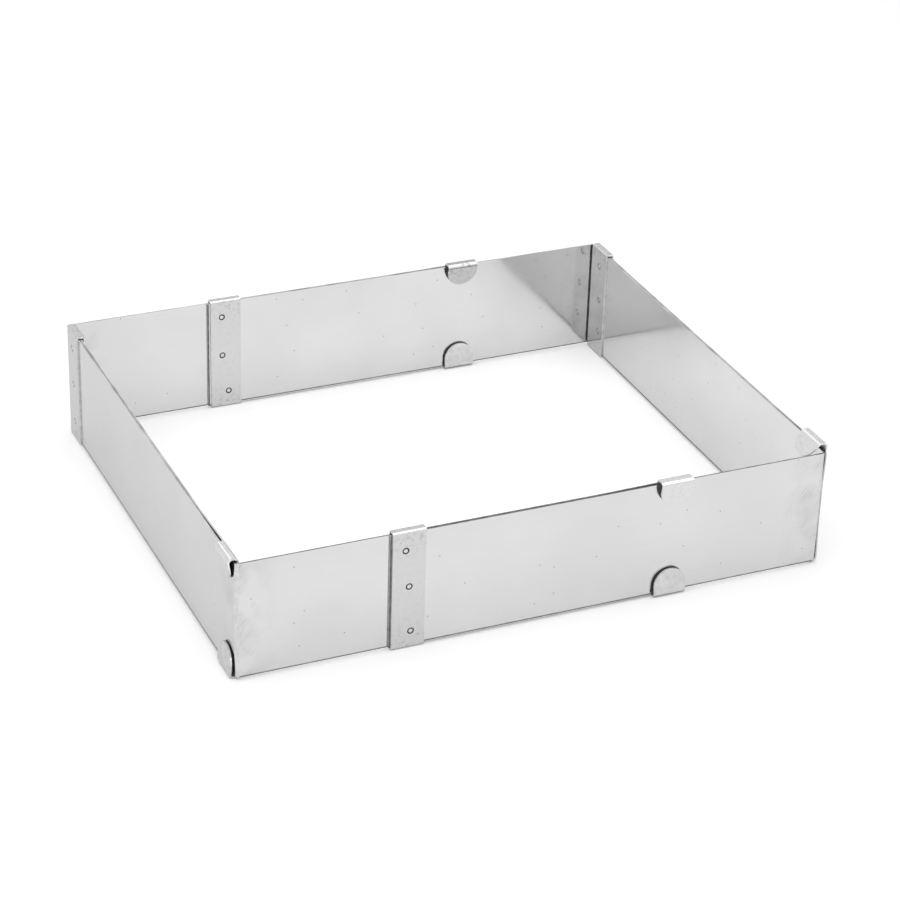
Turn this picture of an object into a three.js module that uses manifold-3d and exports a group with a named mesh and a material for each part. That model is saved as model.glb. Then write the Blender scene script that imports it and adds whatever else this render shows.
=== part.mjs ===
// Adjustable cake frame: four L-shaped stainless steel angles whose legs overlap and slide in one
// another. Folded straps and bent hook tabs at the ends of the legs hold each pair of legs together.
// Millimetres, Z up. X runs along the front wall, Y runs from the front wall to the back wall.
import * as THREE from 'three';
import { mergeVertices } from 'three/addons/utils/BufferGeometryUtils.js';
import Module from 'manifold-3d';

const wasm = await Module();
wasm.setup();

// Sheet metal of the angles
const WALL_HEIGHT = 50;
const SHEET = 0.7;
const CORNER_BEND = 0.8; // inner radius at the corner of an angle
const SLIDE_GAP = 0.7; // between the two sheets of one wall

// Legs, from the outer face of the corner to the cut end
const TAB_LEG_X = 189.6;
const STRAP_LEG_X = 188.8;
const LEG_Y = 213;

// Setting in which the frame stands: pulled out this far in X from closed, and closed in Y
const WIDTH_PULL = 52.1;
const STOP_GAP = 0.3; // left between pieces that meet at a stop

// Straps: strips folded over the edges of both sheets
const STRAP_SHEET = 0.7;
const STRAP_WIDTH = 13.9;
const STRAP_INSET = 0.8; // from the cut end of the leg to the strap
const FOLD_GAP = 0.35; // from a sheet's edge to the inside of the fold
const FOLD_RADIUS = 0.15; // inside the fold
const LIP_GAP = 0.3; // between the inner sheet and the lip behind it
const LIP_REACH = 4; // how far a lip covers the inner sheet

// Hook tabs: ears of the inner sheet, bent round the outer sheet's edge, with a half-round end
const TAB_WIDTH = 14.2;
const TAB_LENGTH = 12.1; // of an ear, up from the sheet's edge to the bend and down to the tip
const TAB_ROUND = 0.8; // share of the bend's inner half width that is rounded
const TAB_ROOT = 1.5; // length of the ear below the bend

// How a tab is bent: the rise from the outer sheet's edge to the inside of the bend, the standoff between
// the outer sheet and the flap at the bend, and the flap's lean in degrees towards the sheet (splayed when
// below zero)
const UPPER_BEND = { rise: 1, standoff: 2, lean: 10 };
const LOWER_BEND = { rise: 0.3, standoff: 1.3, lean: 0 };
const LOWER_LEFT_BEND = { ...LOWER_BEND, lean: 2 };
const OPENED_BEND = { rise: 3.2, standoff: 1.3, lean: -38 };
const TABS = {
  front: { top: UPPER_BEND, bottom: LOWER_BEND },
  back: { top: UPPER_BEND, bottom: LOWER_BEND },
  left: { top: UPPER_BEND, bottom: LOWER_LEFT_BEND },
  right: { top: OPENED_BEND, bottom: LOWER_BEND },
};

// Spot welds: place along the strap from its middle, and how far above (or below) the weld's level
const WELD_RADIUS = 1.35;
const WELD_GAP = 0.05; // between a weld and the strap round it
const WELD_DISH = 0.12; // depth of the hollow in a weld's end
const WELD_RIM = 0.7; // inner edge of a weld's flat rim, as a share of its radius
const WELD_FLOOR = 0.45; // edge of the hollow's flat floor, as a share of the radius
const WELD_EDGE = 7; // from the sheet's edge to the upper or lower weld's level
const WELDS = {
  front: { upper: [-1.5, -0.4], middle: [0.2, 1.5], lower: [1.2, -0.6] },
  back: { upper: [-1.8, 0.1], middle: [-1.7, -0.6], lower: [1.1, -0.5] },
  left: { upper: [0.3, -0.2], middle: [0.3, 0.6], lower: [0, 0.6] },
  right: { upper: [-0.4, -0.1], middle: [-1.7, 1.4], lower: [-2.3, 3.7] },
};

const CURVE_STEPS = 4;
const ROUND_SIDES = 24;
const CUT_MARGIN = 1; // how far cutting solids run past what they cut
const MERGE_DISTANCE = 1e-5; // corners closer than this are one corner

// Finishes
const sheetSteel = new THREE.MeshStandardMaterial({ color: 0xd6d7d8, roughness: 0.32, metalness: 1 });
const strapSteel = new THREE.MeshStandardMaterial({ color: 0xd2d3d4, roughness: 0.36, metalness: 1 });
const weldSteel = new THREE.MeshStandardMaterial({ color: 0xa9aaab, roughness: 0.45, metalness: 1 });

// Distances across a wall, measured from the strap side of the outer sheet (positive outwards)
const innerNear = -(SHEET + SLIDE_GAP); // face of the inner sheet that the outer sheet slides on
const innerFar = innerNear - SHEET;
const lipNear = innerFar - LIP_GAP;
const outerMiddle = -SHEET / 2;
const innerMiddle = innerNear - SHEET / 2;

// A tab's bend radius, the height and length of its flap, and how far it reaches out from the outer sheet
const bendRadius = ({ standoff }) => (TAB_ROUND * (standoff - innerNear)) / 2;
const flapTop = ({ rise }) => rise + SHEET / 2;
const flapLength = (bend) => TAB_LENGTH - flapTop(bend);
const flapAngle = ({ lean }) => THREE.MathUtils.degToRad(lean);
const flapReach = (bend) =>
  bend.standoff + 2 * SHEET + flapLength(bend) * Math.max(0, Math.sin(-flapAngle(bend)));

// Where the four walls stand: the strap side of each wall's outer sheet
const leftFace = 0;
const frontFace = 0;
const widestFlap = Math.max(...Object.values(TABS.right).map(flapReach));
const closedWidth = Math.max(
  TAB_LEG_X + widestFlap + STOP_GAP,
  STRAP_LEG_X + SHEET + SLIDE_GAP + STOP_GAP,
  STRAP_LEG_X + LIP_GAP + STRAP_SHEET + STOP_GAP,
);
const closedDepth = LEG_Y + CORNER_BEND;
const rightFace = leftFace + closedWidth + WIDTH_PULL;
const backFace = frontFace + closedDepth;

// A wall has a direction along it, a strap side, and the place of its outer sheet
const X = new THREE.Vector3(1, 0, 0);
const Y = new THREE.Vector3(0, 1, 0);
const Z = new THREE.Vector3(0, 0, 1);
const wallAlongX = (face) => ({ along: X, out: Y.clone().negate(), base: new THREE.Vector3(0, face, 0) });
const wallAlongY = (face) => ({ along: Y, out: X.clone().negate(), base: new THREE.Vector3(face, 0, 0) });
const walls = {
  front: wallAlongX(frontFace),
  back: wallAlongX(backFace),
  left: wallAlongY(leftFace),
  right: wallAlongY(rightFace),
};

// Ends of the legs along their walls
const tabEnd = {
  front: leftFace + TAB_LEG_X,
  back: leftFace - innerNear + TAB_LEG_X,
  left: backFace - innerFar - LEG_Y,
  right: backFace + SHEET - LEG_Y,
};
const strapEnd = {
  front: rightFace + SHEET - STRAP_LEG_X,
  back: rightFace - innerFar - STRAP_LEG_X,
  left: frontFace - innerNear + LEG_Y,
  right: frontFace + LEG_Y,
};

// Stretch of a wall that a tab or a strap takes up, near its leg's cut end
const tabSpan = {
  front: [tabEnd.front - TAB_WIDTH, tabEnd.front],
  back: [tabEnd.back - TAB_WIDTH, tabEnd.back],
  left: [tabEnd.left, tabEnd.left + TAB_WIDTH],
  right: [tabEnd.right, tabEnd.right + TAB_WIDTH],
};
const strapFar = STRAP_INSET + STRAP_WIDTH;
const strapSpan = {
  front: [strapEnd.front + STRAP_INSET, strapEnd.front + strapFar],
  back: [strapEnd.back + STRAP_INSET, strapEnd.back + strapFar],
  left: [strapEnd.left - strapFar, strapEnd.left - STRAP_INSET],
  right: [strapEnd.right - strapFar, strapEnd.right - STRAP_INSET],
};

// Solids for joining and cutting
function toSolid(geometry) {
  const bare = geometry.clone();
  bare.deleteAttribute('normal');
  bare.deleteAttribute('uv');
  const merged = mergeVertices(bare, MERGE_DISTANCE);
  return new wasm.Manifold(
    new wasm.Mesh({
      numProp: 3,
      vertProperties: Float32Array.from(merged.attributes.position.array),
      triVerts: Uint32Array.from(merged.index.array),
    }),
  );
}

function toGeometry(solid) {
  const mesh = solid.getMesh();
  const geometry = new THREE.BufferGeometry();
  geometry.setAttribute('position', new THREE.BufferAttribute(mesh.vertProperties, 3));
  geometry.setIndex(new THREE.BufferAttribute(mesh.triVerts, 1));
  const flat = geometry.toNonIndexed();
  flat.computeVertexNormals();
  return flat;
}

// Closed outline of a strip of even thickness, folded at the inner corners of a line of points
function foldedStrip(points, thickness, innerRadius) {
  const line = points.map(([x, y]) => new THREE.Vector2(x, y));
  const half = thickness / 2;
  const radius = innerRadius + half;
  const headings = line.slice(1).map((point, i) => point.clone().sub(line[i]).normalize());
  const leftOf = (heading) => new THREE.Vector2(-heading.y, heading.x);
  const folds = line.slice(1, -1).map((corner, i) => {
    const [before, after] = [headings[i], headings[i + 1]];
    const turn = Math.atan2(before.cross(after), before.dot(after));
    const setback = radius * Math.tan(Math.abs(turn) / 2);
    const start = corner.clone().addScaledVector(before, -setback);
    const centre = start.clone().addScaledVector(leftOf(before), radius * Math.sign(turn));
    const startAngle = start.clone().sub(centre).angle();
    return { centre, turn, startAngle, endAngle: startAngle + turn };
  });
  const shape = new THREE.Shape();
  const corner = (point, heading, side) => point.clone().addScaledVector(leftOf(heading), side * half);
  const [left, right] = [1, -1].map((side) => corner(line[0], headings[0], side));
  shape.moveTo(right.x, right.y);
  shape.lineTo(left.x, left.y);
  for (const { centre, turn, startAngle, endAngle } of folds) {
    shape.absarc(centre.x, centre.y, radius - Math.sign(turn) * half, startAngle, endAngle, turn < 0);
  }
  for (const side of [1, -1]) {
    const last = corner(line.at(-1), headings.at(-1), side);
    shape.lineTo(last.x, last.y);
  }
  for (const { centre, turn, startAngle, endAngle } of folds.toReversed()) {
    shape.absarc(centre.x, centre.y, radius + Math.sign(turn) * half, endAngle, startAngle, turn > 0);
  }
  shape.closePath();
  return shape;
}

function extrude(shape, depth) {
  return new THREE.ExtrudeGeometry(shape, { depth, bevelEnabled: false, curveSegments: CURVE_STEPS });
}

// A section across a wall (outwards, up), run along the wall from one place to another
function sectionAlong(wall, shape, [from, to]) {
  const run = new THREE.Vector3().crossVectors(wall.out, Z);
  const start = run.dot(wall.along) > 0 ? from : to;
  const place = new THREE.Matrix4().makeBasis(wall.out, Z, run);
  place.setPosition(wall.base.clone().addScaledVector(wall.along, start));
  return toSolid(extrude(shape, to - from).applyMatrix4(place));
}

// An outline on a wall (along, up), run through the wall from one distance to another
function outlineThrough(wall, shape, [from, to]) {
  const run = new THREE.Vector3().crossVectors(wall.along, Z);
  const start = run.dot(wall.out) > 0 ? from : to;
  const place = new THREE.Matrix4().makeBasis(wall.along, Z, run);
  place.setPosition(wall.base.clone().addScaledVector(wall.out, start));
  return toSolid(extrude(shape, to - from).applyMatrix4(place));
}

function rectangle([left, right], [low, high]) {
  const shape = new THREE.Shape();
  shape.moveTo(left, low);
  shape.lineTo(right, low);
  shape.lineTo(right, high);
  shape.lineTo(left, high);
  shape.closePath();
  return shape;
}

// An angle: one sheet bent at its corner, drawn in plan and raised to the wall's height
function bentSheet(plan) {
  return toSolid(extrude(foldedStrip(plan, SHEET, CORNER_BEND), WALL_HEIGHT));
}

// A hook tab on the upper or lower edge of a wall's inner sheet
function withTab(sheet, wallName, edgeName) {
  const wall = walls[wallName];
  const [from, to] = tabSpan[wallName];
  const bend = TABS[wallName][edgeName];
  const radius = bendRadius(bend);
  const angle = flapAngle(bend);
  const up = edgeName === 'top' ? 1 : -1;
  const height = (rise) => (up > 0 ? WALL_HEIGHT : 0) + up * rise;

  const root = Math.min(bend.rise - radius, -SHEET / 2);
  const top = flapTop(bend);
  const flapMiddle = bend.standoff + SHEET / 2;
  const overrun = flapLength(bend) + SHEET;
  const strip = foldedStrip(
    [
      [innerMiddle, height(root - TAB_ROOT)],
      [innerMiddle, height(top)],
      [flapMiddle, height(top)],
      [flapMiddle - overrun * Math.sin(angle), height(top - overrun * Math.cos(angle))],
    ],
    SHEET,
    radius,
  );

  // Trimmed from the flap, so that its end is half round
  const tip = top - flapLength(bend) * Math.cos(angle);
  const roundDepth = (TAB_WIDTH / 2) * Math.cos(angle);
  const roundLevel = height(tip + roundDepth);
  const offcutEnd = height(tip - overrun);
  const waste = new THREE.Shape();
  waste.moveTo(from - CUT_MARGIN, roundLevel);
  waste.lineTo(from, roundLevel);
  waste.absellipse((from + to) / 2, roundLevel, TAB_WIDTH / 2, roundDepth, Math.PI, 0, up < 0);
  waste.lineTo(to + CUT_MARGIN, roundLevel);
  waste.lineTo(to + CUT_MARGIN, offcutEnd);
  waste.lineTo(from - CUT_MARGIN, offcutEnd);
  waste.closePath();
  const flapSide = [outerMiddle, flapReach(bend) + CUT_MARGIN];
  const tab = sectionAlong(wall, strip, [from, to]).subtract(outlineThrough(wall, waste, flapSide));

  const slot = [height(root), height(CUT_MARGIN)].sort((a, b) => a - b);
  const through = [innerFar - CUT_MARGIN, innerNear + CUT_MARGIN];
  return sheet.subtract(outlineThrough(wall, rectangle([from, to], slot), through)).add(tab);
}

function withTabs(sheet, wallNames) {
  const edges = wallNames.flatMap((wall) => ['top', 'bottom'].map((edge) => [wall, edge]));
  return edges.reduce((solid, [wall, edge]) => withTab(solid, wall, edge), sheet);
}

// Middle planes of the outer and inner sheet of each wall, in plan
const frontY = { outer: frontFace - outerMiddle, inner: frontFace - innerMiddle };
const backY = { outer: backFace - outerMiddle, inner: backFace - innerMiddle };
const leftX = { outer: leftFace - outerMiddle, inner: leftFace - innerMiddle };
const rightX = { outer: rightFace - outerMiddle, inner: rightFace - innerMiddle };

const angles = {
  front_left_angle: withTabs(
    bentSheet([
      [tabEnd.front, frontY.inner],
      [leftX.outer, frontY.inner],
      [leftX.outer, strapEnd.left],
    ]),
    ['front'],
  ),
  front_right_angle: bentSheet([
    [strapEnd.front, frontY.outer],
    [rightX.outer, frontY.outer],
    [rightX.outer, strapEnd.right],
  ]),
  back_right_angle: withTabs(
    bentSheet([
      [rightX.inner, tabEnd.right],
      [rightX.inner, backY.outer],
      [strapEnd.back, backY.outer],
    ]),
    ['right'],
  ),
  back_left_angle: withTabs(
    bentSheet([
      [leftX.inner, tabEnd.left],
      [leftX.inner, backY.inner],
      [tabEnd.back, backY.inner],
    ]),
    ['left', 'back'],
  ),
};

// Section of a strap: its face on the outer sheet, both folds, and a lip behind the inner sheet
const strapFace = STRAP_SHEET / 2;
const strapLip = lipNear - STRAP_SHEET / 2;
const foldHigh = WALL_HEIGHT + FOLD_GAP + STRAP_SHEET / 2;
const foldLow = -FOLD_GAP - STRAP_SHEET / 2;
const strapSection = foldedStrip(
  [
    [strapLip, WALL_HEIGHT - LIP_REACH],
    [strapLip, foldHigh],
    [strapFace, foldHigh],
    [strapFace, foldLow],
    [strapLip, foldLow],
    [strapLip, LIP_REACH],
  ],
  STRAP_SHEET,
  FOLD_RADIUS,
);

// A round solid at a weld's place on a strap, turned from a profile (radius, outwards)
const weldLevel = { upper: WALL_HEIGHT - WELD_EDGE, middle: WALL_HEIGHT / 2, lower: WELD_EDGE };
function roundAtWeld(wallName, spotName, profile) {
  const wall = walls[wallName];
  const [from, to] = strapSpan[wallName];
  const [offset, rise] = WELDS[wallName][spotName];
  const side = new THREE.Vector3().crossVectors(wall.out, Z);
  const place = new THREE.Matrix4().makeBasis(Z, wall.out, side.negate());
  const centre = wall.base.clone().addScaledVector(wall.along, (from + to) / 2 + offset);
  place.setPosition(centre.addScaledVector(Z, weldLevel[spotName] + rise));
  const points = profile.map(([radius, out]) => new THREE.Vector2(radius, out));
  return toSolid(new THREE.LatheGeometry(points, ROUND_SIDES).applyMatrix4(place));
}

const holeRadius = WELD_RADIUS + WELD_GAP;
const holeProfile = [
  [0, outerMiddle],
  [holeRadius, outerMiddle],
  [holeRadius, STRAP_SHEET + CUT_MARGIN],
  [0, STRAP_SHEET + CUT_MARGIN],
];
const weldProfile = [
  [0, 0],
  [WELD_RADIUS, 0],
  [WELD_RADIUS, STRAP_SHEET],
  [WELD_RADIUS * WELD_RIM, STRAP_SHEET],
  [WELD_RADIUS * WELD_FLOOR, STRAP_SHEET - WELD_DISH],
  [0, STRAP_SHEET - WELD_DISH],
];

// The finished frame, with the middle of its footprint at the origin
const frame = new THREE.Group();
frame.name = 'adjustable_cake_frame';

function addPiece(name, solid, material) {
  const mesh = new THREE.Mesh(toGeometry(solid), material);
  mesh.name = name;
  frame.add(mesh);
}

for (const [name, solid] of Object.entries(angles)) {
  addPiece(name, solid, sheetSteel);
}
for (const wallName of Object.keys(WELDS)) {
  let strap = sectionAlong(walls[wallName], strapSection, strapSpan[wallName]);
  for (const spotName of Object.keys(weldLevel)) {
    strap = strap.subtract(roundAtWeld(wallName, spotName, holeProfile));
    addPiece(`${wallName}_weld_${spotName}`, roundAtWeld(wallName, spotName, weldProfile), weldSteel);
  }
  addPiece(`${wallName}_strap`, strap, strapSteel);
}

const bounds = new THREE.Box3().setFromObject(frame);
const footprint = bounds.getCenter(new THREE.Vector3());
frame.position.set(-footprint.x, -footprint.y, -bounds.min.z);

export default frame;
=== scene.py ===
"""Adjustable cake frame: four bent stainless angles that slide in one another.

Each wall has two sheets, held together by a folded strap on one and two bent hook tabs on the other.
Metres, Z up. X runs along the front wall, Y runs from the front wall to the back wall.
"""

import logging
import math
from dataclasses import dataclass, field
from enum import Enum, IntEnum
from typing import Callable

import bmesh
import bpy
from bmesh.types import BMEdge, BMFace, BMVert
from bpy.types import Material, MeshPolygon, Node, NodeSocket, NodeTree, Object
from mathutils import Matrix, Quaternion, Vector

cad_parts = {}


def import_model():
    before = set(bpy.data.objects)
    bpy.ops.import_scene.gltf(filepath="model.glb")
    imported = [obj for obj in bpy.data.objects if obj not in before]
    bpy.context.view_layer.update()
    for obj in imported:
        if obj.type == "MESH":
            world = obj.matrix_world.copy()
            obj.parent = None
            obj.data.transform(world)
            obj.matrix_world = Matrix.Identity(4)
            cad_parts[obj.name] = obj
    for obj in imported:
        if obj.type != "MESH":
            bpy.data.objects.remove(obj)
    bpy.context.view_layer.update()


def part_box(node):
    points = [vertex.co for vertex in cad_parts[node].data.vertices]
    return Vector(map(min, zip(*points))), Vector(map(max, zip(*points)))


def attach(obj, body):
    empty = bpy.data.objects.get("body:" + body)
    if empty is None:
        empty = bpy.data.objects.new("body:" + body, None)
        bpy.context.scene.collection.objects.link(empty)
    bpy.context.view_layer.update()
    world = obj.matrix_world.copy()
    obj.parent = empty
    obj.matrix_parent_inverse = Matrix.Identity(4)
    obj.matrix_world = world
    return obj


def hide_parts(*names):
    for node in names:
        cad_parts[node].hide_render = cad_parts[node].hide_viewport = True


MM = 0.001
UP = Vector((0.0, 0.0, 1.0))
SAME_PLACE = 0.005 * MM  # corners closer than this are one corner
QUARTER = math.radians(90)
FACING = 0.5  # a face looks a certain way when at least this share of its normal points there
SHARP = math.radians(50)  # edges that turn more than this are rounded
SOFT = math.radians(40)  # edges that turn less than this are shaded smooth
ROUNDING_STEPS = 2
LARGE_FACE_WEIGHT = 60  # how strongly the large faces lead the shading
SLANTED = "#e7e7e7"  # steel mirrors this much less than a plain mirror when it is seen at a slant

log = logging.getLogger("cake_frame")


class Side(Enum):
    """The four walls."""

    FRONT = "front"
    BACK = "back"
    LEFT = "left"
    RIGHT = "right"


class Edge(Enum):
    """The two long edges of a wall, with the way out of the sheet there."""

    TOP = 1
    BOTTOM = -1


class Kind(Enum):
    """What is picked on a sheet that is being shaped."""

    CORNERS = "VERT"
    EDGES = "EDGE"
    FACES = "FACE"


class Finish(IntEnum):
    """The finishes of a sheet, by the place of their material on it."""

    FACE = 0
    EDGE = 1
    TAB = 2
    TAB_EDGE = 3
    DULL_TAB = 4
    DULL_TAB_EDGE = 5
    TAB_INSIDE = 6
    TORN_EDGE = 7
    CORNER = 8


class StripFinish(IntEnum):
    """The finishes of a strap, by the place of their material on it."""

    FACE = 0
    EDGE = 1
    UNDERSIDE = 2


class WeldFinish(IntEnum):
    """The finishes of a spot weld, by the place of their material on it."""

    END = 0
    RING = 1


def linear(colour: str) -> tuple[float, float, float, float]:
    """Turns an sRGB hex colour into the linear values that a shader takes.

    Args:
        colour: "#rrggbb".

    Returns:
        Red, green, blue and a full alpha.
    """
    shares = [int(colour[i : i + 2], 16) / 255 for i in (1, 3, 5)]
    return (*(s / 12.92 if s <= 0.04045 else ((s + 0.055) / 1.055) ** 2.4 for s in shares), 1.0)


def smooth_step(value: float, start: float, end: float) -> float:
    """Gives 0 before the start, 1 after the end and an easy rise between them."""
    share = min(max((value - start) / (end - start), 0.0), 1.0)
    return share * share * (3 - 2 * share)


def add_node(tree: NodeTree, kind: str, inputs: dict[str | int, object], **settings: object) -> Node:
    """Adds one node, with its settings, its values and its links.

    Args:
        tree: The tree that the node goes into.
        kind: The node's type, without the words that all shader nodes start with.
        inputs: For each socket, by name or place, a value, the socket that feeds it, or the node whose first
            output feeds it.
        settings: The node's own settings, by name.

    Returns:
        The new node.
    """
    node = tree.nodes.new(f"ShaderNode{kind}")
    for name, value in settings.items():
        setattr(node, name, value)
    for name, value in inputs.items():
        source = value.outputs[0] if isinstance(value, Node) else value
        if isinstance(source, NodeSocket):
            tree.links.new(source, node.inputs[name])
        else:
            node.inputs[name].default_value = source
    return node


def new_material(name: str) -> tuple[Material, NodeTree, NodeSocket]:
    """Starts a material with only the place of a point on the object.

    Args:
        name: The material's name.

    Returns:
        The material, its tree and the socket that gives the place in metres.
    """
    material = bpy.data.materials.new(name)
    material.use_nodes = True
    material.node_tree.nodes.clear()
    place = add_node(material.node_tree, "TexCoord", {}).outputs["Object"]
    return material, material.node_tree, place


def finish_steel(
    tree: NodeTree,
    clean: str,
    marks: list[tuple[Node, str]],
    roughness: Node | float,
    relief: tuple[Node, float],
) -> None:
    """Ends a material as bare steel.

    Args:
        tree: The material's tree.
        clean: Colour of the clean steel.
        marks: For each kind of mark, the node that gives its share, and its colour. The last one is on top.
        roughness: How dull the steel is, or the node that gives it.
        relief: The node that gives the relief, from 0 to 1, and the relief's depth.
    """
    colour = linear(clean)
    for share, tone in marks:
        # A colour mix has its share at place 0, its two colours at 6 and 7, and its result at 2
        mix = add_node(tree, "Mix", {0: share, 6: colour, 7: linear(tone)}, data_type="RGBA")
        colour = mix.outputs[2]
    height, depth = relief
    bump = add_node(tree, "Bump", {"Height": height, "Distance": depth, "Strength": 1.0})
    steel = add_node(
        tree,
        "BsdfPrincipled",
        {
            "Base Color": colour,
            "Metallic": 1.0,
            "Roughness": roughness,
            "Specular Tint": linear(SLANTED),
            "Normal": bump,
        },
    )
    add_node(tree, "OutputMaterial", {"Surface": steel})


@dataclass(frozen=True)
class RolledSheet:
    """Stainless sheet, cold rolled bright: nearly a mirror, with faint haze, specks and fine scratches."""

    name: str = "bright_rolled_stainless_sheet"
    clean: str = "#d7d7d7"
    hazed: str = "#d2d2d2"
    marked: str = "#8f8f8f"
    smooth: float = 0.085
    dull: float = 0.14
    haze_size: float = 38 * MM
    line_size: tuple[float, float, float] = (120 * MM, 1.2 * MM, 1.0)  # real lines are too fine to show
    line_share: float = 0.25  # how much the rolling lines add to the haze
    veiled: tuple[float, float] = (0.45, 0.8)  # where the haze starts to show, and where it is full
    speck_spacing: float = 13 * MM
    speck_size: float = 0.4 * MM
    speck_core: float = 0.5  # share of a speck that is as dark as it gets
    speck_tone: float = 0.75
    bare_share: float = 0.56  # share of the places that have no speck
    scratch_size: tuple[float, float, float] = (9 * MM, 0.2 * MM, 1.0)
    scratch_tilt: float = math.radians(52)
    scratched: tuple[float, float] = (0.6, 0.8)  # where a scratch starts, and where it is full
    half_round: float = 232 * MM  # half the way round the frame's inside, from a corner to the next but one
    scuffed: float = 18 * MM  # how far from a corner the scratches reach
    scuff_size: float = 11 * MM
    patchy: tuple[float, float] = (0.42, 0.62)  # where a scuffed patch starts, and where it is full
    rub_share: float = 0.2  # how much the steel between the scratches is dulled
    ripple_size: float = 22 * MM
    ripple_depth: float = 0.01 * MM

    def material(self) -> Material:
        """Makes the material.

        Returns:
            The material.
        """
        material, tree, place = new_material(self.name)
        axes = add_node(tree, "SeparateXYZ", {"Vector": place})
        along = add_node(tree, "Math", {0: axes.outputs["X"], 1: axes.outputs["Y"]})
        flat = add_node(tree, "CombineXYZ", {"X": along, "Y": axes.outputs["Z"]})

        haze = add_node(tree, "TexNoise", {"Vector": place, "Scale": 1 / self.haze_size, "Detail": 4.0})
        rolled = add_node(tree, "Mapping", {"Vector": flat, "Scale": self.line_size}, vector_type="TEXTURE")
        lines = add_node(tree, "TexNoise", {"Vector": rolled, "Scale": 1.0, "Detail": 2.0})
        both = add_node(tree, "Math", {0: lines, 1: self.line_share, 2: haze}, operation="MULTIPLY_ADD")
        low, high = self.veiled
        veil = add_node(tree, "MapRange", {"Value": both, "From Min": low, "From Max": high})

        cells = add_node(
            tree, "TexVoronoi", {"Vector": flat, "Scale": 1 / self.speck_spacing}, voronoi_dimensions="2D"
        )
        reach = self.speck_size / self.speck_spacing
        speck = add_node(
            tree,
            "MapRange",
            {
                "Value": cells,
                "From Min": self.speck_core * reach,
                "From Max": reach,
                "To Min": self.speck_tone,
                "To Max": 0.0,
            },
        )
        kept = add_node(
            tree, "Math", {0: cells.outputs["Color"], 1: self.bare_share}, operation="GREATER_THAN"
        )
        sparse = add_node(tree, "Math", {0: speck, 1: kept}, operation="MULTIPLY")

        slanted = add_node(
            tree,
            "Mapping",
            {"Vector": flat, "Rotation": (0.0, 0.0, self.scratch_tilt), "Scale": self.scratch_size},
            vector_type="TEXTURE",
        )
        strokes = add_node(tree, "TexNoise", {"Vector": slanted, "Scale": 1.0, "Detail": 0.0})
        low, high = self.scratched
        stroke = add_node(tree, "MapRange", {"Value": strokes, "From Min": low, "From Max": high})
        sides = [add_node(tree, "Math", {0: axes.outputs[axis]}, operation="ABSOLUTE") for axis in "XY"]
        gone = add_node(tree, "Math", {0: sides[0], 1: sides[1]})
        near_corner = add_node(
            tree,
            "MapRange",
            {"Value": gone, "From Min": self.half_round - self.scuffed, "From Max": self.half_round},
        )
        scuffs = add_node(tree, "TexNoise", {"Vector": place, "Scale": 1 / self.scuff_size, "Detail": 3.0})
        low, high = self.patchy
        scuff = add_node(tree, "MapRange", {"Value": scuffs, "From Min": low, "From Max": high})
        rubbed = add_node(tree, "Math", {0: scuff, 1: near_corner}, operation="MULTIPLY")
        scratch = add_node(tree, "Math", {0: stroke, 1: rubbed}, operation="MULTIPLY")
        worn = add_node(tree, "Math", {0: rubbed, 1: self.rub_share, 2: scratch}, operation="MULTIPLY_ADD")
        marks = add_node(tree, "Math", {0: sparse, 1: worn}, operation="MAXIMUM")

        roughness = add_node(tree, "MapRange", {"Value": veil, "To Min": self.smooth, "To Max": self.dull})
        ripple = add_node(tree, "TexNoise", {"Vector": place, "Scale": 1 / self.ripple_size, "Detail": 1.0})
        tones = [(veil, self.hazed), (marks, self.marked)]
        finish_steel(tree, self.clean, tones, roughness, (ripple, self.ripple_depth))
        return material


@dataclass(frozen=True)
class FoldedSteel:
    """Stainless that was folded and pressed: a little dull, with rub marks in patches near its folds."""

    name: str
    clean: str
    rubbed: str
    clear: float  # half the height that has few marks
    smooth: float = 0.13
    dull: float = 0.24
    middle: float = 26.05 * MM  # height of the wall's middle
    fade: float = 9 * MM
    far_share: float = 0.2  # share of the marks that is left away from the folds
    rub_size: float = 2 * MM
    rub_grit: float = 0.7  # how much of the rub marks is fine
    patchy: tuple[float, float] = (0.5, 0.72)  # where a rubbed patch starts, and where it is full
    dent_size: float = 5 * MM
    dent_depth: float = 0.012 * MM

    def material(self) -> Material:
        """Makes the material.

        Returns:
            The material.
        """
        material, tree, place = new_material(self.name)
        height = add_node(tree, "SeparateXYZ", {"Vector": place}).outputs["Z"]
        offset = add_node(tree, "Math", {0: height, 1: self.middle}, operation="SUBTRACT")
        distance = add_node(tree, "Math", {0: offset}, operation="ABSOLUTE")
        near_fold = add_node(
            tree,
            "MapRange",
            {
                "Value": distance,
                "From Min": self.clear,
                "From Max": self.clear + self.fade,
                "To Min": self.far_share,
            },
        )
        rubs = add_node(
            tree,
            "TexNoise",
            {"Vector": place, "Scale": 1 / self.rub_size, "Detail": 5.0, "Roughness": self.rub_grit},
        )
        low, high = self.patchy
        patches = add_node(tree, "MapRange", {"Value": rubs, "From Min": low, "From Max": high})
        wear = add_node(tree, "Math", {0: patches, 1: near_fold}, operation="MULTIPLY")
        roughness = add_node(tree, "MapRange", {"Value": wear, "To Min": self.smooth, "To Max": self.dull})
        dents = add_node(tree, "TexNoise", {"Vector": place, "Scale": 1 / self.dent_size, "Detail": 2.0})
        finish_steel(tree, self.clean, [(wear, self.rubbed)], roughness, (dents, self.dent_depth))
        return material


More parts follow.
